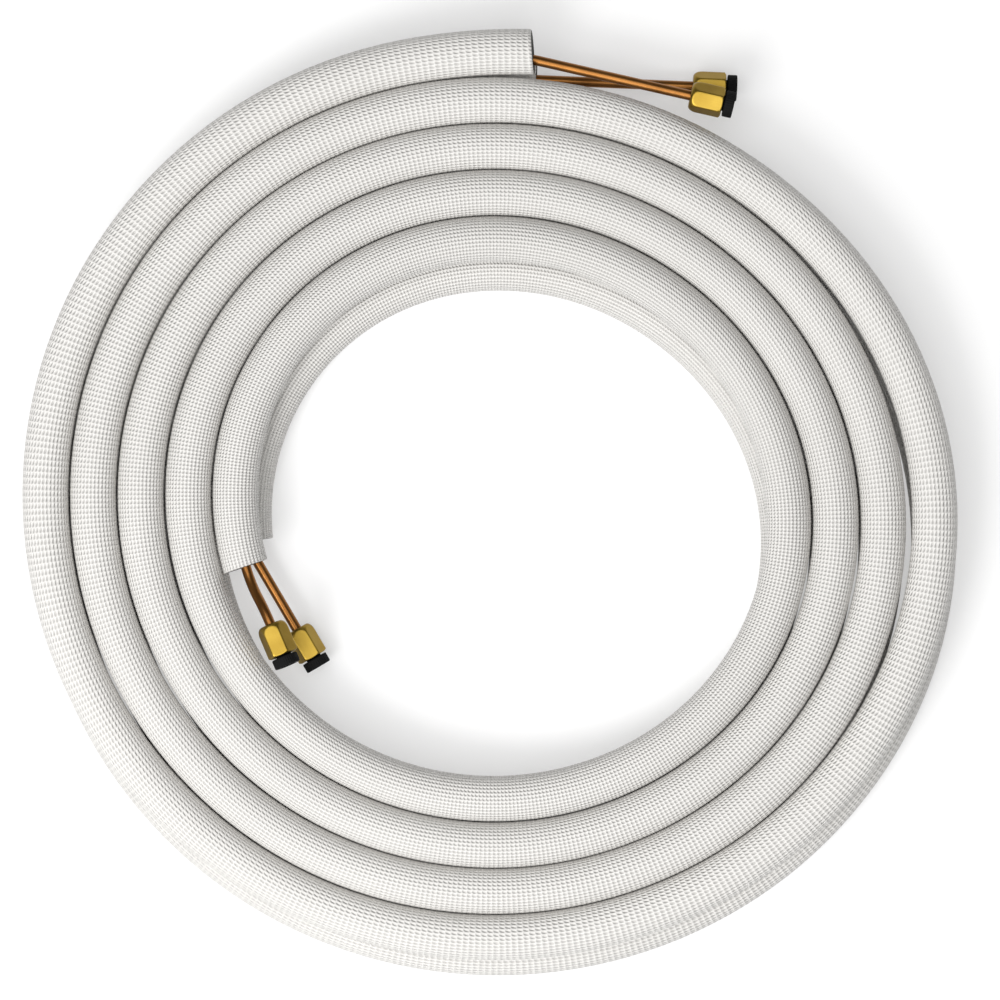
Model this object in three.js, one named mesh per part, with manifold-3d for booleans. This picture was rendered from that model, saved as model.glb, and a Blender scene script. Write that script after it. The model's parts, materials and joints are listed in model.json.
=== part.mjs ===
// A pair of insulated copper refrigerant lines, delivered as a flat coil: two foam-sleeved tubes are wound together,
// one layer on top of the other, and each of the four bare tube ends carries a brass flare nut with a black plug.
// Millimetres, +Z up. The coil lies on the floor, and the origin is under the middle of its bounding box.
import * as THREE from "three";
import { mergeVertices } from "three/addons/utils/BufferGeometryUtils.js";
import Module from "manifold-3d";

// Copper tube
const tubeDiameter = 6.35;
const tubeWall = 0.8;
const flareLength = 1.25;
const flareSpread = 1.3; // how far the flare's rim stands out past the tube

// Foam sleeve
const foamWall = 10.6;
const tubeClearance = 0.32; // radial, between the tube and the foam's bore

// Coil
const coilRadius = 289.5; // middle of the tube at the coil's outer end
const coilTurns = 4.299;
const lowerTurns = 4.27;
const outerEndAngle = 85.8; // degrees, seen from above
const outOfRound = 0.972; // the coil is a little narrower along Y
const diagonalSwell = 2.3; // every turn bulges this far along one diagonal and is drawn in as far across it
const diagonalAngle = 135; // degrees
const cornerSwell = 1; // and bulges this far at three soft corners
const cornerAngle = 113; // degrees
const turnGap = 0.5; // between neighbouring turns, where they lie closest
const lowerTurnGap = 1.5;
const layerGap = 0.3;
const lowerShiftX = 2.5; // the bottom layer has slipped sideways under the top one
const lowerShiftY = -12.6;
const springGap = 2.6; // the outer turn stands off from the next one here
const springAngle = 6; // degrees
const springSpread = 52; // degrees either side
const endGap = 2.2; // the top layer's outer end has sprung off too
const endSpread = 16; // degrees

// Near its outer end the upper tube lies nearer to the inner side of the foam
const tubeLean = 4.8;
const leanLength = 80;

// Bare ends: bends one after the other past the sleeve, each to a heading in plan (degrees from the sleeve's own) and
// a slope, and then the straight run to the nut
const gentleBend = 110;
const wideBend = 55;
const tightBend = 34;
const upperOuterRun = 96;
const upperInnerRun = 1.3;
const lowerOuterRun = 93.8;
const lowerInnerRun = 48.2;
const ends = {
  upper: {
    outer: { bends: [{ heading: -4.4, slope: 0, radius: wideBend }], run: upperOuterRun },
    inner: {
      bends: [
        { heading: 14.2, slope: 35, radius: tightBend },
        { heading: 7.2, slope: 5, radius: tightBend },
      ],
      run: upperInnerRun,
    },
  },
  lower: {
    outer: { bends: [{ heading: 2.2, slope: 0, radius: gentleBend }], run: lowerOuterRun },
    inner: { bends: [{ heading: 24.4, slope: 0, radius: tightBend }], run: lowerInnerRun },
  },
};

// Flare nut
const nutLength = 20.5;
const nutAcrossFlats = 17;
const nutBackDiameter = 13; // the hex rounds down to this where the tube goes in
const nutDome = 6.5; // length of the rounding
const nutChamfer = 0.9;
const nutTubeHole = 9; // depth of the plain hole round the tube
const threadBore = 10.6;
const runningGap = 0.3;

// Plug
const plugDepth = 7.4; // how far it goes into the nut
const discGap = 1; // between the nut's mouth and the plug's disc
const discDiameter = 16.4;
const discThickness = 6;
const discRounding = 0.8;

// Facets
const stepsPerTurn = 24;
const sleeveSides = 12;
const boreSides = 8;
const tubeSides = 8;
const tubeBoreSides = 6;
const roundSides = 16;
const bendStep = 8; // degrees

const cutPast = 1; // a cutter runs out this far past the faces that it opens

const sleeveRadius = tubeDiameter / 2 + tubeClearance + foamWall;

const foam = new THREE.MeshStandardMaterial({ color: 0xe9e6df, roughness: 0.7, metalness: 0 });
const copper = new THREE.MeshStandardMaterial({ color: 0xc9824f, roughness: 0.3, metalness: 1 });
const brass = new THREE.MeshStandardMaterial({ color: 0xcda24a, roughness: 0.3, metalness: 1 });
const plastic = new THREE.MeshStandardMaterial({ color: 0x17181a, roughness: 0.5, metalness: 0 });

const wasm = await Module();
wasm.setup();

function toSolid(geometry) {
  const bare = geometry.clone();
  bare.deleteAttribute("normal");
  bare.deleteAttribute("uv");
  const merged = mergeVertices(bare, 1e-4);
  return new wasm.Manifold(
    new wasm.Mesh({
      numProp: 3,
      vertProperties: new Float32Array(merged.attributes.position.array),
      triVerts: new Uint32Array(merged.index.array),
    }),
  );
}

function toGeometry(solid) {
  const made = solid.getMesh();
  const geometry = new THREE.BufferGeometry();
  geometry.setAttribute("position", new THREE.BufferAttribute(made.vertProperties, 3));
  geometry.setIndex(new THREE.BufferAttribute(made.triVerts, 1));
  geometry.computeVertexNormals();
  return geometry;
}

// A polygon with the area of the circle that it stands for, and how far its corners and flats are from the middle.
const cornerRadius = (radius, sides) =>
  radius * Math.sqrt((2 * Math.PI) / (sides * Math.sin((2 * Math.PI) / sides)));
const flatRadius = (radius, sides) => cornerRadius(radius, sides) * Math.cos(Math.PI / sides);

// Half a side of turn puts a flat, not a corner, at the bottom, the top and both sides.
function polygon(PathType, radius, sides) {
  const outline = new PathType();
  const corner = cornerRadius(radius, sides);
  for (let i = 0; i < sides; i++) {
    const angle = ((i + 0.5) / sides) * 2 * Math.PI;
    const point = [corner * Math.cos(angle), corner * Math.sin(angle)];
    if (i === 0) outline.moveTo(...point);
    else outline.lineTo(...point);
  }
  outline.closePath();
  return outline;
}

// A line through stated places, each with its direction: { at, along }. Extrusion puts one section at each of them.
class PlacedPath extends THREE.Curve {
  constructor(places) {
    super();
    this.places = places;
  }

  place(u) {
    return this.places[Math.round(u * (this.places.length - 1))];
  }

  getPointAt(u, target = new THREE.Vector3()) {
    return target.copy(this.place(u).at);
  }

  getTangentAt(u, target = new THREE.Vector3()) {
    return target.copy(this.place(u).along);
  }
}

function sweep(places, radius, sides) {
  return new THREE.ExtrudeGeometry(polygon(THREE.Shape, radius, sides), {
    steps: places.length - 1,
    extrudePath: new PlacedPath(places),
  });
}

function tube(places, radius, sides, boreRadius, boreSideCount) {
  const section = polygon(THREE.Shape, radius, sides);
  section.holes.push(polygon(THREE.Path, boreRadius, boreSideCount));
  return new THREE.ExtrudeGeometry(section, {
    steps: places.length - 1,
    extrudePath: new PlacedPath(places),
  });
}

// The same line, run on straight past both of its ends.
function runOn(places, length) {
  const first = places[0];
  const last = places.at(-1);
  const before = { at: first.at.clone().addScaledVector(first.along, -length), along: first.along };
  const after = { at: last.at.clone().addScaledVector(last.along, length), along: last.along };
  return [before, ...places, after];
}

// One layer of the coil: its turns run anticlockwise and inwards from the outer end, in even steps of angle, so that
// the facets of neighbouring turns face each other.
const layers = {
  lower: {
    turns: lowerTurns,
    gap: lowerTurnGap,
    shift: [lowerShiftX, lowerShiftY],
    endGap: 0,
    lean: 0,
    z: flatRadius(sleeveRadius, sleeveSides),
  },
  upper: {
    turns: coilTurns,
    gap: turnGap,
    shift: [0, 0],
    endGap,
    lean: tubeLean,
    z: 3 * flatRadius(sleeveRadius, sleeveSides) + layerGap,
  },
};

// How far a turn lies from the even spiral: the coil's own shape, the outer turn's spring and its free end.
function offSpiral(degrees, endGap) {
  const wave = (count, from) => Math.cos(THREE.MathUtils.degToRad(count * (degrees - from)));
  const fromSpring = (degrees - springAngle - 360) / springSpread;
  const fromEnd = (degrees - outerEndAngle) / endSpread;
  const spring = Math.abs(fromSpring) < 1 ? springGap * Math.cos((fromSpring * Math.PI) / 2) ** 2 : 0;
  const end = fromEnd < 1 ? endGap * (1 - fromEnd) ** 2 : 0;
  return diagonalSwell * wave(2, diagonalAngle) + cornerSwell * wave(3, cornerAngle) + spring + end;
}

function coilPoint({ gap, shift, endGap, z }, turn) {
  const pitch = (2 * sleeveRadius + gap) / outOfRound;
  const degrees = outerEndAngle + 360 * turn;
  const radius = coilRadius - pitch * turn + offSpiral(degrees, endGap);
  const angle = THREE.MathUtils.degToRad(degrees);
  return new THREE.Vector3(
    radius * Math.cos(angle) + shift[0],
    outOfRound * radius * Math.sin(angle) + shift[1],
    z,
  );
}

function coilPlaces(layer) {
  const steps = Math.round(layer.turns * stepsPerTurn);
  const nearby = 1e-4; // of a turn
  const places = [];
  for (let i = 0; i <= steps; i++) {
    const turn = i < steps ? i / stepsPerTurn : layer.turns;
    const along = coilPoint(layer, turn + nearby).sub(coilPoint(layer, turn - nearby)).normalize();
    places.push({ at: coilPoint(layer, turn), along, turn });
  }
  return places;
}

// The tube inside the sleeve, which leans towards the coil's middle near the outer end.
function leanedPlaces(places, lean) {
  return places.map(({ at, along, turn }) => {
    const left = Math.max(0, 1 - (2 * Math.PI * coilRadius * turn) / leanLength);
    const inward = new THREE.Vector3(-along.y, along.x, 0);
    const slope = (-2 * lean * left) / leanLength;
    return {
      at: at.clone().addScaledVector(inward, lean * left ** 2),
      along: along.clone().addScaledVector(inward, slope).normalize(),
    };
  });
}

const backwards = (places) =>
  places.map(({ at, along }) => ({ at, along: along.clone().negate() })).reverse();

// A round bend from one place to a new direction, without the place that it starts from.
function bendTo({ at, along }, direction, radius) {
  const angle = along.angleTo(direction);
  const inward = direction.clone().addScaledVector(along, -Math.cos(angle)).normalize();
  const pieces = Math.ceil(angle / THREE.MathUtils.degToRad(bendStep));
  const places = [];
  for (let i = 1; i <= pieces; i++) {
    const t = (angle * i) / pieces;
    const point = at.clone().addScaledVector(along, radius * Math.sin(t));
    point.addScaledVector(inward, radius * (1 - Math.cos(t)));
    const tangent = along.clone().multiplyScalar(Math.cos(t)).addScaledVector(inward, Math.sin(t));
    places.push({ at: point, along: tangent });
  }
  return places;
}

// The bare tube past one end of the sleeve: its bends, a straight run to the nut, and the flared tip inside the nut.
function bareEnd(sleeveEnd, { bends, run }) {
  const up = new THREE.Vector3(0, 0, 1);
  const places = [sleeveEnd];
  for (const { heading, slope, radius } of bends) {
    const direction = sleeveEnd.along.clone().applyAxisAngle(up, THREE.MathUtils.degToRad(heading));
    direction.z = Math.tan(THREE.MathUtils.degToRad(slope));
    places.push(...bendTo(places.at(-1), direction.normalize(), radius));
  }
  const { along } = places.at(-1);
  for (const length of [run, nutTubeHole + runningGap, flareLength]) {
    places.push({ at: places.at(-1).at.clone().addScaledVector(along, length), along });
  }
  const [nutBack, , tip] = places.slice(-3);
  return { places: places.slice(1), nutBack, tip };
}

// The last ring of the tube at a flare is spread, bore and outside alike.
function spreadFlare(geometry, { at: tip, along }) {
  const position = geometry.attributes.position;
  const point = new THREE.Vector3();
  for (let i = 0; i < position.count; i++) {
    const outward = point.fromBufferAttribute(position, i).sub(tip);
    const radius = outward.length();
    if (radius > tubeDiameter || Math.abs(outward.dot(along)) > flareLength / 2) continue;
    outward.multiplyScalar((radius + flareSpread) / radius).add(tip);
    position.setXYZ(i, outward.x, outward.y, outward.z);
  }
}

// A turned solid along +Z from a closed profile of [radius, height] points.
function turned(profile, sides) {
  const closed = [...profile, profile[0]].map(([r, z]) => new THREE.Vector2(r, z));
  return new THREE.LatheGeometry(closed, sides).rotateX(Math.PI / 2);
}

const boreFlat = (radius) => (radius + runningGap) / Math.cos(Math.PI / roundSides);
const nutTubeHoleRadius = boreFlat(cornerRadius(tubeDiameter / 2, tubeSides));

function flareNut() {
  const corner = nutAcrossFlats / 2 / Math.cos(Math.PI / 6);
  const prism = new THREE.CylinderGeometry(corner, corner, nutLength, 6).rotateX(Math.PI / 2);
  prism.translate(0, 0, nutLength / 2);
  const back = nutBackDiameter / 2;
  const dome = [];
  const domeSteps = 4;
  for (let i = 0; i <= domeSteps; i++) {
    const t = (i / domeSteps) * (Math.PI / 2);
    dome.push([back + (corner - back) * Math.sin(t), nutDome * (1 - Math.cos(t))]);
  }
  const outside = [
    [0, 0],
    ...dome,
    [corner, nutLength - nutChamfer],
    [corner - nutChamfer * Math.sqrt(3), nutLength],
    [0, nutLength],
  ];
  const thread = threadBore / 2;
  const inside = [
    [0, -cutPast],
    [nutTubeHoleRadius, -cutPast],
    [nutTubeHoleRadius, nutTubeHole],
    [thread, nutTubeHole + thread - nutTubeHoleRadius],
    [thread, nutLength + cutPast],
    [0, nutLength + cutPast],
  ];
  const envelope = toSolid(turned(outside, roundSides));
  return toGeometry(toSolid(prism).intersect(envelope).subtract(toSolid(turned(inside, roundSides))));
}

function plug() {
  const stem = (threadBore / 2) * Math.cos(Math.PI / roundSides) - runningGap;
  const mouth = nutLength;
  const disc = discDiameter / 2;
  return turned(
    [
      [0, mouth - plugDepth],
      [stem, mouth - plugDepth],
      [stem, mouth + discGap],
      [disc - discRounding, mouth + discGap],
      [disc, mouth + discGap + discRounding],
      [disc, mouth + discGap + discThickness - discRounding],
      [disc - discRounding, mouth + discGap + discThickness],
      [0, mouth + discGap + discThickness],
    ],
    roundSides,
  );
}

const nutGeometry = flareNut();
const plugGeometry = plug();
const coil = new THREE.Group();

function addPiece(parent, name, geometry, material) {
  const mesh = new THREE.Mesh(geometry, material);
  mesh.name = name;
  parent.add(mesh);
}

for (const [level, layer] of Object.entries(layers)) {
  const sleeve = coilPlaces(layer);
  const covered = leanedPlaces(sleeve, layer.lean);
  const outer = bareEnd(backwards(covered).at(-1), ends[level].outer);
  const inner = bareEnd(covered.at(-1), ends[level].inner);

  const foamBody = toSolid(sweep(sleeve, sleeveRadius, sleeveSides));
  const foamBore = toSolid(sweep(runOn(covered, cutPast), tubeDiameter / 2 + tubeClearance, boreSides));
  addPiece(coil, `sleeve_${level}`, toGeometry(foamBody.subtract(foamBore)), foam);

  const line = [...backwards(outer.places), ...covered, ...inner.places];
  const pipe = tube(line, tubeDiameter / 2, tubeSides, tubeDiameter / 2 - tubeWall, tubeBoreSides);
  for (const end of [outer, inner]) spreadFlare(pipe, end.tip);
  addPiece(coil, `copper_tube_${level}`, pipe, copper);

  for (const [side, { nutBack }] of Object.entries({ outer, inner })) {
    const fitting = new THREE.Group();
    fitting.position.copy(nutBack.at);
    fitting.quaternion.setFromUnitVectors(new THREE.Vector3(0, 0, 1), nutBack.along);
    addPiece(fitting, `flare_nut_${level}_${side}`, nutGeometry, brass);
    addPiece(fitting, `plug_${level}_${side}`, plugGeometry, plastic);
    coil.add(fitting);
  }
}

coil.updateMatrixWorld(true);
const box = new THREE.Box3().setFromObject(coil, true);
const middle = box.getCenter(new THREE.Vector3());
coil.position.set(-middle.x, -middle.y, -box.min.z);

export default coil;
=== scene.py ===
# A flat coil of two foam-sleeved copper lines, one layer on top of the other, seen from above. Metres.
import json
import math

import bpy
import numpy as np
from mathutils import Matrix, Vector, noise

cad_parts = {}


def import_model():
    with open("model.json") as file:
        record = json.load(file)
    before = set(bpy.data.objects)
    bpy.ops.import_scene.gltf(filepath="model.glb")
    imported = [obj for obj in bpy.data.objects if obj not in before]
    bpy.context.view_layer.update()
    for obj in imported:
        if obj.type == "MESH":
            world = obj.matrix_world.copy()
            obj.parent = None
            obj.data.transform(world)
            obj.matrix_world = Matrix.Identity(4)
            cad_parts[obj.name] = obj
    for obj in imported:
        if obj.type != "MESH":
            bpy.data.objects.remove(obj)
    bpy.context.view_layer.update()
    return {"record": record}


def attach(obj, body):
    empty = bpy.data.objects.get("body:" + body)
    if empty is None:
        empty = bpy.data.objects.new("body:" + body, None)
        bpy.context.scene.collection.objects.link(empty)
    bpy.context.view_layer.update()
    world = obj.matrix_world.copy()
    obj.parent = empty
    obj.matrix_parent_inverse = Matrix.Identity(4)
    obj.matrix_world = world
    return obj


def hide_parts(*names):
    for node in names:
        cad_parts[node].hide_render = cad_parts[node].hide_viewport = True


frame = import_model()

JOINTS = {joint["name"]: joint for joint in frame["record"]["behaviour"]["joints"]}
ROOT = "coil"

MM = 0.001

# Copper tube and foam sleeve
TUBE_RADIUS = 3.175 * MM
TUBE_WALL = 0.8 * MM
FLARE_LENGTH = 1.25 * MM
FLARE_SPREAD = 1.3 * MM
FLARE_STEPS = 4
FLARE_GAP = 0.3 * MM  # from the end of the nut's back hole to the flare's root
SLEEVE_RADIUS = 14.095 * MM
SLEEVE_BORE = 3.495 * MM
SURFACE_DRIFT = 0.22 * MM  # the soft foam isn't quite round
DRIFT_ROUND = 0.6  # how fast that changes round the sleeve
DRIFT_ALONG = 9  # and along each turn
DRIFT_APART = 50  # keeps the two layers unlike
END_ZONE = 3 * MM  # of a sleeve, shaped by its cut end alone

# The coil's own middle, its shape and its two layers
POLE = (4.332 * MM, -2.320 * MM)
COIL_RADIUS = 289.5 * MM
OUT_OF_ROUND = 0.972
OUTER_END = math.radians(85.8)
DIAGONAL_SWELL = 2.3 * MM
DIAGONAL_ANGLE = math.radians(135)
CORNER_SWELL = 1.0 * MM
CORNER_ANGLE = math.radians(113)
LAYERS = {
    "lower": {"turns": 4.27, "gap": 1.5 * MM, "shift": (2.5 * MM, -12.6 * MM), "z": 13.932 * MM, "end_gap": 0,
              "lean": 0},
    "upper": {"turns": 4.299, "gap": 0.5 * MM, "shift": (0, 0), "z": 42.097 * MM, "end_gap": 2.2 * MM,
              "lean": 4.8 * MM},
}
SPRING_GAP = 2.6 * MM  # the outer turn stands off from the next one
SPRING_ANGLE = math.radians(6)
SPRING_SPREAD = math.radians(52)
END_SPREAD = math.radians(16)
LEAN_LENGTH = 80 * MM  # the upper tube leans off the foam's middle this near to its outer end
LAYER_FACE = 28.015 * MM  # height where the two layers of foam press on each other
LAYER_SLIT = 0.1 * MM

# Bends past the sleeves: heading in plan from the line's own and slope, in degrees, and radius
GENTLE, WIDE, TIGHT = 110 * MM, 55 * MM, 34 * MM
BENDS = {
    ("upper", "outer"): [(-4.4, 0, WIDE)],
    ("upper", "inner"): [(14.2, 35, TIGHT), (7.2, 5, TIGHT)],
    ("lower", "outer"): [(2.2, 0, GENTLE)],
    ("lower", "inner"): [(24.4, 0, TIGHT)],
}

# How far each sleeve's cut end leans back at its top, and at its side nearer the coil's middle
CUTS = {
    ("upper", "outer"): (0.9 * MM, -1.2 * MM),
    ("upper", "inner"): (0.2 * MM, 0.7 * MM),
    ("lower", "outer"): (0.5 * MM, -0.6 * MM),
    ("lower", "inner"): (0.2 * MM, 0.3 * MM),
}

# Flare nut and plug
NUT_LENGTH = 20.5 * MM
NUT_FLATS = 17 * MM
NUT_BACK = 6.5 * MM
NUT_DOME = 6.5 * MM
NUT_CHAMFER = 0.9 * MM
NUT_EDGE = 0.3 * MM  # broken edges of the back face and of its hole
NUT_CORNER_WIDTH = 0.5 * MM  # over which two flats run into each other
NUT_DOME_WIDTH = 0.35 * MM  # over which a flat runs into the dome or the chamfer
NUT_HOLE_RADIUS = 3.7 * MM
NUT_HOLE_DEPTH = 9 * MM
THREAD_BORE = 5.3 * MM
THREAD_PITCH = 1.27 * MM
THREAD_DEPTH = 0.35 * MM
MOUTH_CHAMFER = 0.5 * MM
STEM_RADIUS = 4.9 * MM
STEM_CHAMFER = 0.4 * MM
STEM_END_GAP = 0.1 * MM
PLUG_DEPTH = 7.4 * MM
DISC_GAP = 1 * MM
DISC_RADIUS = 8.2 * MM
DISC_THICKNESS = 6 * MM
DISC_ROUNDING = 0.7 * MM
DISC_DISH = [(5.2 * MM, 0), (4.8 * MM, 0.25 * MM), (4.4 * MM, 0.8 * MM), (0, 0.8 * MM)]  # radius and depth
GRIP_RIBS = 36
GRIP_DEPTH = 0.22 * MM
GRIP_ZONE = 0.5 * MM  # how far in from the disc's edge the ribs reach

# The view: how much of the top layer each pixel covers, and the picture's middle as seen from the pole
PIXEL = 0.62 * MM
IMAGE_SIDE = 1000 * PIXEL
IMAGE_MIDDLE = (POLE[0] + 1.49 * PIXEL, POLE[1] + 7.84 * PIXEL)
CAMERA_HEIGHT = 3.0

# Steps along each turn of the coil, and sides of each section
SLEEVE_STEPS = 160
TUBE_STEPS = 96
SLEEVE_SIDES = 72
BORE_SIDES = 24
TUBE_SIDES = 32
NUT_SIDES = 144
PLUG_SIDES = 216

# Steps along the shorter stretches
BEND_STEPS = 12
RUN_STEPS = 4
DOME_STEPS = 14
FLAT_STEPS = 8
CHAMFER_STEPS = 4
ARC_STEPS = 6

# The film's dimples: rows of them lie round the sleeve, and each row counts them along the turns
DIMPLE_ROWS = 36
DIMPLES_OUTER_TURN = 460
DIMPLES_A_TURN = 498
DIMPLE_DEPTH = 0.72 * MM
DIMPLE_SLANT = 0.3  # rows across for each dimple length along
DIMPLE_LENGTH_POWER = 0.45  # below 1, so a dimple is long and blunt
DIMPLE_WIDTH_POWER = 1.8  # above 1, so it is narrow
RIB_SHARE = 0.35  # of a dimple's depth
GRAIN_SHARE = 0.25


def link(mesh, name, body, slot, *replaced):
    piece = bpy.data.objects.new(name, mesh)
    bpy.context.scene.collection.objects.link(piece)
    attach(piece, body)
    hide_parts(*replaced)


def mesh_of(name, points, faces, uvs=None, materials=(), slots=None):
    mesh = bpy.data.meshes.new(name)
    mesh.from_pydata([tuple(p) for p in points], [], faces)
    for material in materials:
        mesh.materials.append(material)
    mesh.polygons.foreach_set("use_smooth", [True] * len(faces))
    if slots is not None:
        mesh.polygons.foreach_set("material_index", slots)
    if uvs is not None:
        layer = mesh.uv_layers.new(name="UVMap")
        layer.data.foreach_set("uv", np.asarray(uvs, float).ravel())
    mesh.update()
    return mesh


# Paths

def off_spiral(angle, end_gap):
    """How far a turn lies from the even spiral: the coil's shape, the outer turn's spring and free end."""
    off = DIAGONAL_SWELL * math.cos(2 * (angle - DIAGONAL_ANGLE))
    off += CORNER_SWELL * math.cos(3 * (angle - CORNER_ANGLE))
    from_spring = (angle - SPRING_ANGLE - 2 * math.pi) / SPRING_SPREAD
    if abs(from_spring) < 1:
        off += SPRING_GAP * math.cos(from_spring * math.pi / 2) ** 2
    from_end = (angle - OUTER_END) / END_SPREAD
    if from_end < 1:
        off += end_gap * (1 - from_end) ** 2
    return off


def coil_point(layer, turn):
    pitch = (2 * SLEEVE_RADIUS + layer["gap"]) / OUT_OF_ROUND
    angle = OUTER_END + 2 * math.pi * turn
    radius = COIL_RADIUS - pitch * turn + off_spiral(angle, layer["end_gap"])
    return Vector((
        POLE[0] + radius * math.cos(angle) + layer["shift"][0],
        POLE[1] + OUT_OF_ROUND * radius * math.sin(angle) + layer["shift"][1],
        layer["z"],
    ))


def coil_direction(layer, turn):
    nearby = 1e-4
    return (coil_point(layer, turn + nearby) - coil_point(layer, turn - nearby)).normalized()


def even_turns(layer, steps_per_turn):
    """Evenly spaced places from the outer end to the inner one, in turns."""
    count = round(layer["turns"] * steps_per_turn)
    return [layer["turns"] * i / count for i in range(count + 1)]


def leaned(layer, turn):
    """Point and direction of the tube inside its sleeve."""
    at, along = coil_point(layer, turn), coil_direction(layer, turn)
    left = max(0.0, 1 - 2 * math.pi * COIL_RADIUS * turn / LEAN_LENGTH)
    inward = Vector((-along.y, along.x, 0))
    slope = -2 * layer["lean"] * left / LEAN_LENGTH
    return at + inward * layer["lean"] * left ** 2, (along + inward * slope).normalized()


def bare_end(point, direction, bends, nut_back, nut_axis):
    """Points and directions of the bare tube from the sleeve's end to the flare's root inside the nut."""
    places = []
    at, along = point, direction.normalized()
    for heading, slope, radius in bends:
        last = Matrix.Rotation(math.radians(heading), 3, "Z") @ direction
        last.z = math.tan(math.radians(slope))
        last.normalize()
        angle = along.angle(last)
        inward = (last - along * math.cos(angle)).normalized()
        start, first = at, along
        for i in range(1, BEND_STEPS + 1):
            t = angle * i / BEND_STEPS
            at = start + first * radius * math.sin(t) + inward * radius * (1 - math.cos(t))
            along = first * math.cos(t) + inward * math.sin(t)
            places.append((at, along))
    run = nut_back - at
    places += [(at + run * i / RUN_STEPS, nut_axis) for i in range(1, RUN_STEPS + 1)]
    places.append((nut_back + nut_axis * (NUT_HOLE_DEPTH + FLARE_GAP), nut_axis))
    return places


def ring(at, along, radius, sides, shape=None):
    """Points of one section: angle 0 is up, and a quarter turn on is to the line's left."""
    side = Vector((0, 0, 1)).cross(along).normalized()
    up = along.cross(side)
    points = []
    for k in range(sides):
        angle = 2 * math.pi * k / sides
        r = radius if shape is None else shape(angle)
        points.append(at + up * r * math.cos(angle) + side * r * math.sin(angle))
    return points


# Materials

def new_material(name):
    material = bpy.data.materials.new(name)
    material.use_nodes = True
    tree = material.node_tree
    shader = tree.nodes["Principled BSDF"]

    def add(kind, **values):
        node = tree.nodes.new(kind)
        for key, value in values.items():
            setattr(node, key, value)
        return node

    def math_node(operation, a, b=None, c=None):
        node = add("ShaderNodeMath", operation=operation)
        for i, value in enumerate((a, b, c)):
            if value is None:
                continue
            if isinstance(value, (int, float)):
                node.inputs[i].default_value = value
            else:
                tree.links.new(value, node.inputs[i])
        return node.outputs[0]

    return material, tree, shader, add, math_node


def ramp(tree, add, source, stops):
    node = add("ShaderNodeValToRGB")
    while len(node.color_ramp.elements) < len(stops):
        node.color_ramp.elements.new(0.5)
    for element, (position, color) in zip(node.color_ramp.elements, stops):
        element.position = position
        element.color = (*color, 1)
    tree.links.new(source, node.inputs[0])
    return node.outputs[0]


def noise_texture(tree, add, source, scale, detail=3.0):
    node = add("ShaderNodeTexNoise")
    node.inputs["Scale"].default_value = scale
    node.inputs["Detail"].default_value = detail
    tree.links.new(source, node.inputs["Vector"])
    return node.outputs["Fac"]


def film_material():
    """White embossed film: rows of small slanted dimples in a regular grid, with painted shade darkening each
    dimple.

    The first texture coordinate counts dimples along the sleeve and the second counts rows round it.
    """
    material, tree, shader, add, calc = new_material("white_film")
    coordinates = add("ShaderNodeTexCoord")
    split = add("ShaderNodeSeparateXYZ")
    tree.links.new(coordinates.outputs["UV"], split.inputs[0])

    def wave(count, power):
        phase = calc("MULTIPLY", count, 2 * math.pi)
        cosine = calc("MULTIPLY_ADD", calc("COSINE", phase), 0.5, 0.5)
        return calc("POWER", cosine, power)

    along = split.outputs[0]
    from_middle = calc("SUBTRACT", calc("FRACT", calc("ADD", along, 0.5)), 0.5)
    around = calc("MULTIPLY_ADD", from_middle, DIMPLE_SLANT, split.outputs[1])
    dimple = calc("MULTIPLY", wave(along, DIMPLE_LENGTH_POWER), wave(around, DIMPLE_WIDTH_POWER))
    rib = wave(along, 1.0)
    height = calc("ADD", calc("MULTIPLY", dimple, -1.0), calc("MULTIPLY", rib, -RIB_SHARE))
    grain = noise_texture(tree, add, coordinates.outputs["Object"], 900)
    height = calc("ADD", height, calc("MULTIPLY", grain, GRAIN_SHARE))

    bump = add("ShaderNodeBump")
    bump.inputs["Strength"].default_value = 1.0
    bump.inputs["Distance"].default_value = DIMPLE_DEPTH
    tree.links.new(height, bump.inputs["Height"])
    tree.links.new(bump.outputs[0], shader.inputs["Normal"])

    patches = noise_texture(tree, add, coordinates.outputs["Object"], 9)
    # Base colour: each dimple is painted darker as painted shade in its hollow, and noise patches vary the
    # film's own tone at random.
    painted_dimple_shade_and_patches = calc("ADD", calc("MULTIPLY", dimple, 0.22), calc("MULTIPLY", patches, 0.16))
    color = ramp(tree, add, painted_dimple_shade_and_patches, [(0.0, (0.765, 0.75, 0.725)), (0.8, (0.385, 0.37, 0.345))])
    tree.links.new(color, shader.inputs["Base Color"])
    shader.inputs["Roughness"].default_value = 0.55
    shader.inputs["Specular IOR Level"].default_value = 0.4
    return material


def foam_material():
    """The cut face of the foam: dark, with fine open cells."""
    material, tree, shader, add, _ = new_material("foam_core")
    coordinates = add("ShaderNodeTexCoord")
    cells = add("ShaderNodeTexVoronoi")
    cells.inputs["Scale"].default_value = 1800
    tree.links.new(coordinates.outputs["Object"], cells.inputs["Vector"])
    distance = cells.outputs["Distance"]
    bump = add("ShaderNodeBump")
    bump.inputs["Strength"].default_value = 0.6
    bump.inputs["Distance"].default_value = 0.2 * MM
    tree.links.new(distance, bump.inputs["Height"])
    tree.links.new(bump.outputs[0], shader.inputs["Normal"])
    color = ramp(tree, add, distance, [(0.0, (0.012, 0.012, 0.011)), (0.7, (0.05, 0.049, 0.045))])
    tree.links.new(color, shader.inputs["Base Color"])
    shader.inputs["Roughness"].default_value = 0.95
    return material


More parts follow.
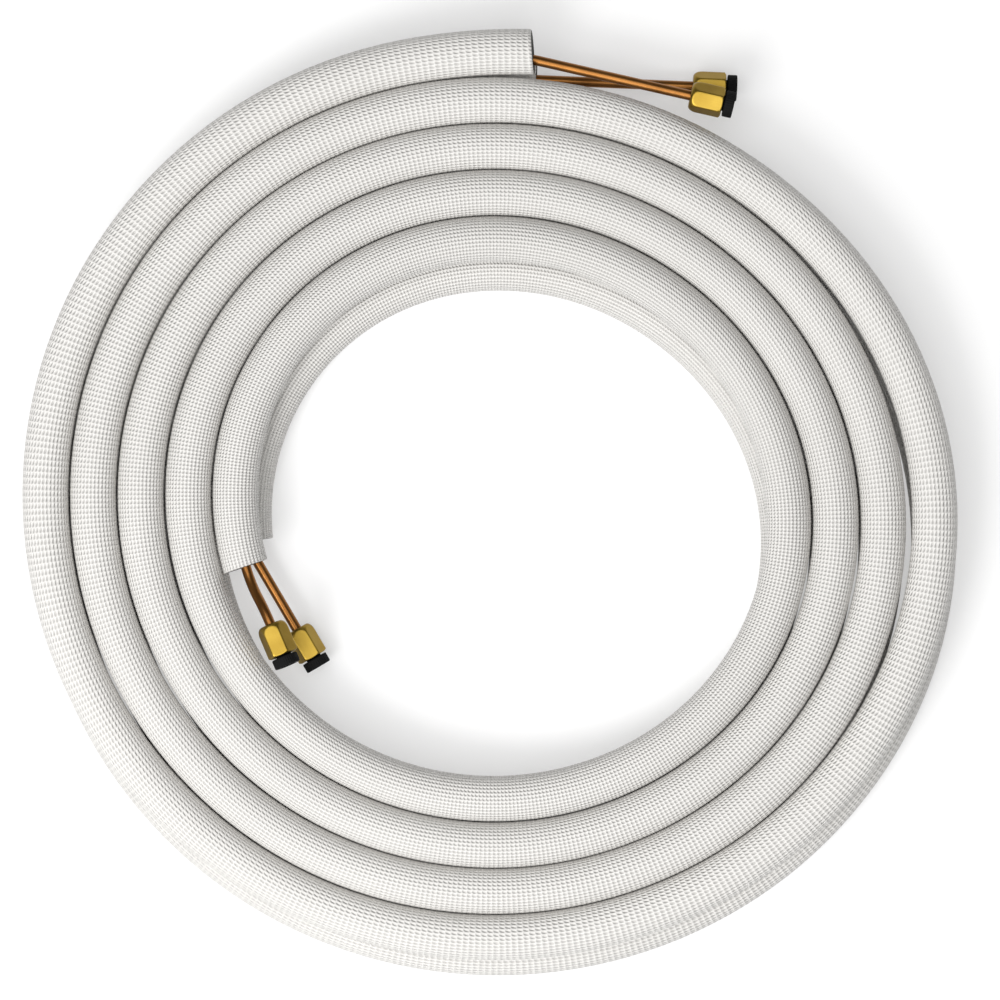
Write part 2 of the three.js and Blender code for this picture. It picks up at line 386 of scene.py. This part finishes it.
def metal_material(name, stops, roughness, streak_scale, streak_bump):
    """Drawn or turned metal: a colour that drifts a little, and fine streaks along or round the piece."""
    material, tree, shader, add, calc = new_material(name)
    coordinates = add("ShaderNodeTexCoord")
    drift = noise_texture(tree, add, coordinates.outputs["Object"], 60)
    stretch = add("ShaderNodeMapping")
    stretch.inputs["Scale"].default_value = streak_scale
    tree.links.new(coordinates.outputs["UV"], stretch.inputs["Vector"])
    streaks = noise_texture(tree, add, stretch.outputs[0], 1.0, 2.0)
    mixed = calc("ADD", calc("MULTIPLY", drift, 0.6), calc("MULTIPLY", streaks, 0.4))
    tree.links.new(ramp(tree, add, mixed, stops), shader.inputs["Base Color"])
    rough = calc("MULTIPLY_ADD", mixed, 0.16, roughness - 0.08)
    tree.links.new(rough, shader.inputs["Roughness"])
    shader.inputs["Metallic"].default_value = 1.0
    bump = add("ShaderNodeBump")
    bump.inputs["Strength"].default_value = streak_bump
    bump.inputs["Distance"].default_value = 0.05 * MM
    tree.links.new(streaks, bump.inputs["Height"])
    tree.links.new(bump.outputs[0], shader.inputs["Normal"])
    return material


def plastic_material():
    material, tree, shader, add, _ = new_material("black_plastic")
    coordinates = add("ShaderNodeTexCoord")
    grain = noise_texture(tree, add, coordinates.outputs["Object"], 2500, 2.0)
    bump = add("ShaderNodeBump")
    bump.inputs["Strength"].default_value = 0.35
    bump.inputs["Distance"].default_value = 0.05 * MM
    tree.links.new(grain, bump.inputs["Height"])
    tree.links.new(bump.outputs[0], shader.inputs["Normal"])
    color = ramp(tree, add, grain, [(0.3, (0.002, 0.002, 0.0022)), (0.7, (0.005, 0.005, 0.0053))])
    tree.links.new(color, shader.inputs["Base Color"])
    shader.inputs["Roughness"].default_value = 0.7
    shader.inputs["Specular IOR Level"].default_value = 0.15
    return material


FILM = film_material()
FOAM = foam_material()
COPPER = metal_material(
    "copper", [(0.3, (0.18, 0.075, 0.020)), (0.7, (0.33, 0.145, 0.040))], 0.34, (900, 14, 1), 0.2)
BRASS = metal_material(
    "brass", [(0.3, (0.23, 0.145, 0.021)), (0.7, (0.39, 0.265, 0.048))], 0.4, (500, 6, 1), 0.15)
PLASTIC = plastic_material()


# Sleeves

END_PROFILE = [(0.0, 0.75 * MM), (0.12 * MM, 0.35 * MM), (0.4 * MM, 0.1 * MM), (0.9 * MM, 0.0)]


def dimples(turn):
    """How many dimples lie between the outer end and here: they are coarser on the outermost turn."""
    return DIMPLES_OUTER_TURN * min(turn, 1) + DIMPLES_A_TURN * max(turn - 1, 0)


def sleeve(level):
    layer = LAYERS[level]
    turns = even_turns(layer, SLEEVE_STEPS)
    line = [coil_point(layer, turn) for turn in turns]
    length = sum((b - a).length for a, b in zip(line, line[1:]))
    floor = 0.0 if level == "lower" else LAYER_FACE + LAYER_SLIT / 2
    ceiling = LAYER_FACE - LAYER_SLIT / 2 if level == "lower" else math.inf

    def section(turn, shrink, cut):
        at, along = coil_point(layer, turn), coil_direction(layer, turn)

        def shape(angle):
            x, y = math.cos(angle) * DRIFT_ROUND, math.sin(angle) * DRIFT_ROUND
            place = Vector((x, y + layer["z"] * DRIFT_APART, turn * DRIFT_ALONG))
            return SLEEVE_RADIUS - shrink + SURFACE_DRIFT * noise.noise(place)

        points = ring(at, along, SLEEVE_RADIUS, SLEEVE_SIDES, shape)
        for k, p in enumerate(points):
            angle = 2 * math.pi * k / SLEEVE_SIDES
            if cut:
                p += along * cut[0] * (cut[1] * math.cos(angle) + cut[2] * math.sin(angle))
            p.z = min(max(p.z, floor), ceiling)
        return points

    sections = []  # (turn, how much narrower, the cut's slant)
    for side, way, start in (("outer", 1, 0.0), ("inner", -1, layer["turns"])):
        cut = (way, *CUTS[level, side])
        for inset, shrink in END_PROFILE:
            sections.append((start + way * inset / length * layer["turns"], shrink, cut))
    spare = END_ZONE / length * layer["turns"]
    sections += [(turn, 0.0, None) for turn in turns if spare < turn < layer["turns"] - spare]
    sections.sort(key=lambda row: row[0])

    points = []
    for row in sections:
        points += section(*row)
    faces, uvs, slots = [], [], []
    rows = len(sections)
    for i in range(rows - 1):
        for k in range(SLEEVE_SIDES):
            k2 = (k + 1) % SLEEVE_SIDES
            a, b = i * SLEEVE_SIDES, (i + 1) * SLEEVE_SIDES
            faces.append((a + k, b + k, b + k2, a + k2))
            t0, t1 = dimples(sections[i][0]), dimples(sections[i + 1][0])
            v0, v1 = k * DIMPLE_ROWS / SLEEVE_SIDES, (k + 1) * DIMPLE_ROWS / SLEEVE_SIDES
            uvs += [(t0, v0), (t1, v0), (t1, v1), (t0, v1)]
            slots.append(0)
    bore_start = len(points)
    for turn, _, cut in sections:
        at, along = leaned(layer, turn)
        hole = ring(at, along, SLEEVE_BORE, BORE_SIDES)
        if cut:
            for p in hole:
                off = p - coil_point(layer, turn)
                side = Vector((0, 0, 1)).cross(along)
                p += along * cut[0] * (cut[1] * off.z + cut[2] * off.dot(side)) / SLEEVE_RADIUS
        points += hole
    for i in range(rows - 1):
        for k in range(BORE_SIDES):
            k2 = (k + 1) % BORE_SIDES
            a, b = bore_start + i * BORE_SIDES, bore_start + (i + 1) * BORE_SIDES
            faces.append((a + k, a + k2, b + k2, b + k))
            uvs += [(0, 0)] * 4
            slots.append(1)
    per = SLEEVE_SIDES // BORE_SIDES
    for row, flip in ((0, False), (rows - 1, True)):
        outer, inner = row * SLEEVE_SIDES, bore_start + row * BORE_SIDES
        for k in range(BORE_SIDES):
            rim = [outer + (k * per + j) % SLEEVE_SIDES for j in range(per + 1)]
            face = [*rim, inner + (k + 1) % BORE_SIDES, inner + k]
            faces.append(tuple(reversed(face)) if flip else tuple(face))
            uvs += [(0, 0)] * len(face)
            slots.append(1)
    mesh = mesh_of(f"foam_sleeve_{level}", points, faces, uvs, (FILM, FOAM), slots)
    link(mesh, f"foam_sleeve_{level}", ROOT, "foam", f"sleeve_{level}")


# Copper tubes

def copper(level):
    layer = LAYERS[level]
    coil = [leaned(layer, turn) for turn in even_turns(layer, TUBE_STEPS)]
    outer = bare_end(coil[0][0], -coil[0][1], BENDS[level, "outer"], *fitting_place(level, "outer"))
    inner = bare_end(coil[-1][0], coil[-1][1], BENDS[level, "inner"], *fitting_place(level, "inner"))
    line = [(at, -along) for at, along in reversed(outer)] + coil + inner

    rings = []  # (at, along, outer radius, bore radius)
    bore = TUBE_RADIUS - TUBE_WALL
    steps = range(1, FLARE_STEPS + 1)
    flare = [(FLARE_LENGTH * i / FLARE_STEPS, FLARE_SPREAD * i / FLARE_STEPS) for i in steps]
    first_at, first_along = line[0]
    for out, spread in reversed(flare):
        rings.append((first_at - first_along * out, first_along, TUBE_RADIUS + spread, bore + spread))
    rings += [(at, along, TUBE_RADIUS, bore) for at, along in line]
    last_at, last_along = line[-1]
    for out, spread in flare:
        rings.append((last_at + last_along * out, last_along, TUBE_RADIUS + spread, bore + spread))

    points, faces, uvs = [], [], []
    lengths = [0.0]
    for before, after in zip(rings, rings[1:]):
        lengths.append(lengths[-1] + (after[0] - before[0]).length)
    for at, along, radius, _ in rings:
        points += ring(at, along, radius, TUBE_SIDES)
    for at, along, _, radius in rings:
        points += ring(at, along, radius, TUBE_SIDES)
    rows = len(rings)
    inside = rows * TUBE_SIDES
    for i in range(rows - 1):
        for k in range(TUBE_SIDES):
            k2 = (k + 1) % TUBE_SIDES
            a, b = i * TUBE_SIDES, (i + 1) * TUBE_SIDES
            v0, v1 = k / TUBE_SIDES, (k + 1) / TUBE_SIDES
            faces.append((a + k, b + k, b + k2, a + k2))
            uvs += [(v0, lengths[i]), (v0, lengths[i + 1]), (v1, lengths[i + 1]), (v1, lengths[i])]
            faces.append((inside + a + k, inside + a + k2, inside + b + k2, inside + b + k))
            uvs += [(v0, lengths[i]), (v1, lengths[i]), (v1, lengths[i + 1]), (v0, lengths[i + 1])]
    for row, flip in ((0, False), (rows - 1, True)):
        for k in range(TUBE_SIDES):
            k2 = (k + 1) % TUBE_SIDES
            a = row * TUBE_SIDES
            face = [a + k, a + k2, inside + a + k2, inside + a + k]
            faces.append(tuple(reversed(face)) if flip else tuple(face))
            uvs += [(0, 0)] * 4
    mesh = mesh_of(f"copper_line_{level}", points, faces, uvs, (COPPER,))
    link(mesh, f"copper_line_{level}", ROOT, "copper", f"copper_tube_{level}")


# Flare nuts and plugs

def turned(name, profile, sides, material, shape=None):
    """A closed body turned about +Z from [(radius, height)] that ends on the axis or closes on itself."""
    points, faces, uvs = [], [], []
    index = []
    for radius, height in profile:
        if radius == 0:
            index.append([len(points)] * sides)
            points.append((0, 0, height))
            continue
        index.append(list(range(len(points), len(points) + sides)))
        for k in range(sides):
            angle = 2 * math.pi * k / sides
            r = radius if shape is None else shape(radius, height, angle)
            points.append((r * math.cos(angle), r * math.sin(angle), height))
    last = len(profile) - 1
    pairs = [(j, j + 1) for j in range(last)]
    if profile[0][0] > 0:
        pairs.append((last, 0))
    for j, j2 in pairs:
        low, high = profile[j][1], profile[j2][1]
        for k in range(sides):
            k2 = (k + 1) % sides
            face = [index[j][k], index[j][k2], index[j2][k2], index[j2][k]]
            left, right = k / sides, (k + 1) / sides
            corners = [(left, low), (right, low), (right, high), (left, high)]
            kept = [i for i in range(4) if face[i] != face[i - 1]]
            faces.append(tuple(face[i] for i in kept))
            uvs += [corners[i] for i in kept]
    return mesh_of(name, points, faces, uvs, (material,))


def soft_min(a, b, width):
    """The smaller of two sizes, with the corner between them rounded off."""
    gap = max(width - abs(a - b), 0) / width
    return min(a, b) - gap * gap * width / 4


def nut_mesh(name):
    corner = NUT_FLATS / 2 / math.cos(math.pi / 6)
    profile = [(NUT_HOLE_RADIUS + NUT_EDGE, 0.0), (NUT_BACK - NUT_EDGE, 0.0)]
    for i in range(1, DOME_STEPS + 1):
        t = i / DOME_STEPS * math.pi / 2
        profile.append((NUT_BACK + (corner - NUT_BACK) * math.sin(t), NUT_DOME * (1 - math.cos(t))))
    straight = NUT_LENGTH - NUT_CHAMFER - NUT_DOME
    for i in range(1, FLAT_STEPS + 1):
        profile.append((corner, NUT_DOME + straight * i / FLAT_STEPS))
    slope = math.sqrt(3)
    for i in range(1, CHAMFER_STEPS + 1):
        share = i / CHAMFER_STEPS
        profile.append((corner - NUT_CHAMFER * slope * share, NUT_LENGTH - NUT_CHAMFER * (1 - share)))
    z = NUT_LENGTH - MOUTH_CHAMFER
    profile += [(THREAD_BORE + MOUTH_CHAMFER, NUT_LENGTH), (THREAD_BORE, z)]
    bottom = NUT_HOLE_DEPTH + THREAD_BORE - NUT_HOLE_RADIUS
    while z - THREAD_PITCH > bottom:
        profile.append((THREAD_BORE + THREAD_DEPTH, z - THREAD_PITCH / 2))
        profile.append((THREAD_BORE, z - THREAD_PITCH))
        z -= THREAD_PITCH
    profile += [(THREAD_BORE, bottom), (NUT_HOLE_RADIUS, NUT_HOLE_DEPTH), (NUT_HOLE_RADIUS, NUT_EDGE)]

    def hexagon(radius, height, angle):
        if radius < NUT_BACK:
            return radius
        sixth = (angle + math.pi / 6) % (math.pi / 3) - math.pi / 6
        flat = NUT_FLATS / 2 / math.cos(sixth)
        return soft_min(radius, soft_min(flat, corner, NUT_CORNER_WIDTH), NUT_DOME_WIDTH)

    return turned(name, profile, NUT_SIDES, BRASS, hexagon)


def plug_mesh(name):
    tip = NUT_LENGTH - PLUG_DEPTH
    inner = NUT_LENGTH + DISC_GAP
    outer = inner + DISC_THICKNESS
    r = DISC_ROUNDING
    profile = [(0, tip), (STEM_RADIUS - STEM_CHAMFER, tip)]
    profile += [(STEM_RADIUS, tip + STEM_CHAMFER), (STEM_RADIUS, inner - STEM_END_GAP)]
    for i in range(ARC_STEPS + 1):
        t = i / ARC_STEPS * math.pi / 2
        profile.append((DISC_RADIUS - r + r * math.sin(t), inner + r * (1 - math.cos(t))))
    profile += [(DISC_RADIUS, inner + DISC_THICKNESS * k / 6) for k in (2, 3, 4)]
    for i in range(ARC_STEPS + 1):
        t = i / ARC_STEPS * math.pi / 2
        profile.append((DISC_RADIUS - r + r * math.cos(t), outer - r + r * math.sin(t)))
    profile += [(radius, outer - depth) for radius, depth in DISC_DISH]

    def grip(radius, height, angle):
        if radius < DISC_RADIUS - GRIP_ZONE or height < inner:
            return radius
        return radius - GRIP_DEPTH * (0.5 - 0.5 * math.cos(angle * GRIP_RIBS))

    return turned(name, profile, PLUG_SIDES, PLASTIC, grip)


def fitting_place(level, side):
    joint = JOINTS[f"nut_{level}_{side}_swivel"]
    return Vector(joint["pos_m"]), Vector(joint["axis"])


def fitting(level, side):
    at, axis = fitting_place(level, side)
    turn = Vector((0, 0, 1)).rotation_difference(axis).to_matrix().to_4x4()
    place = Matrix.Translation(at) @ turn
    body = f"nut_{level}_{side}"
    for make, label, slot_name, node in (
        (nut_mesh, "brass_nut", "brass", "flare_nut"),
        (plug_mesh, "black_plug", "black_plastic", "plug"),
    ):
        mesh = make(f"{label}_{level}_{side}")
        mesh.transform(place)
        link(mesh, mesh.name, body, slot_name, f"{node}_{level}_{side}")


for level in LAYERS:
    sleeve(level)
    copper(level)
    for side in ("outer", "inner"):
        fitting(level, side)


# Stage, lights and camera

FLOOR_HALF = 4.0
FLOOR_DROP = 0.5 * MM  # below the part's underside


def floor():
    half = FLOOR_HALF
    mesh = bpy.data.meshes.new("floor")
    corners = [(-half, -half, 0), (half, -half, 0), (half, half, 0), (-half, half, 0)]
    mesh.from_pydata(corners, [], [(0, 1, 2, 3)])
    material, _, shader, _, _ = new_material("floor")
    shader.inputs["Base Color"].default_value = (0.56, 0.56, 0.56, 1)
    shader.inputs["Roughness"].default_value = 0.9
    shader.inputs["Emission Color"].default_value = (1, 1, 1, 1)
    shader.inputs["Emission Strength"].default_value = 0.4
    mesh.materials.append(material)
    piece = bpy.data.objects.new("floor", mesh)
    piece.location.z = -FLOOR_DROP
    bpy.context.scene.collection.objects.link(piece)


def area_light(name, position, size, power):
    """A soft round lamp, aimed at the coil's middle."""
    light = bpy.data.lights.new(name, "AREA")
    light.shape = "DISK"
    light.size = size
    light.energy = power
    lamp = bpy.data.objects.new(name, light)
    lamp.location = position
    lamp.rotation_mode = "QUATERNION"
    lamp.rotation_quaternion = (-Vector(position)).to_track_quat("-Z", "Y")
    bpy.context.scene.collection.objects.link(lamp)


def world(strength):
    made = bpy.data.worlds.new("studio")
    made.use_nodes = True
    background = made.node_tree.nodes["Background"]
    background.inputs["Color"].default_value = (1, 1, 1, 1)
    background.inputs["Strength"].default_value = strength
    bpy.context.scene.world = made


def camera():
    data = bpy.data.cameras.new("camera")
    top = LAYERS["upper"]["z"]
    data.sensor_width = 36
    data.lens = data.sensor_width * (CAMERA_HEIGHT - top) / IMAGE_SIDE
    data.clip_end = 20
    piece = bpy.data.objects.new("camera", data)
    piece.location = (*IMAGE_MIDDLE, CAMERA_HEIGHT)
    bpy.context.scene.collection.objects.link(piece)
    bpy.context.scene.camera = piece


floor()
world(0.18)
area_light("key", position=(-1.28, -1.45, 2.3), size=1.5, power=58)
area_light("overhead", position=(-0.4, -0.4, 3.2), size=3.6, power=88)
camera()
bpy.context.scene.view_settings.view_transform = "Standard"
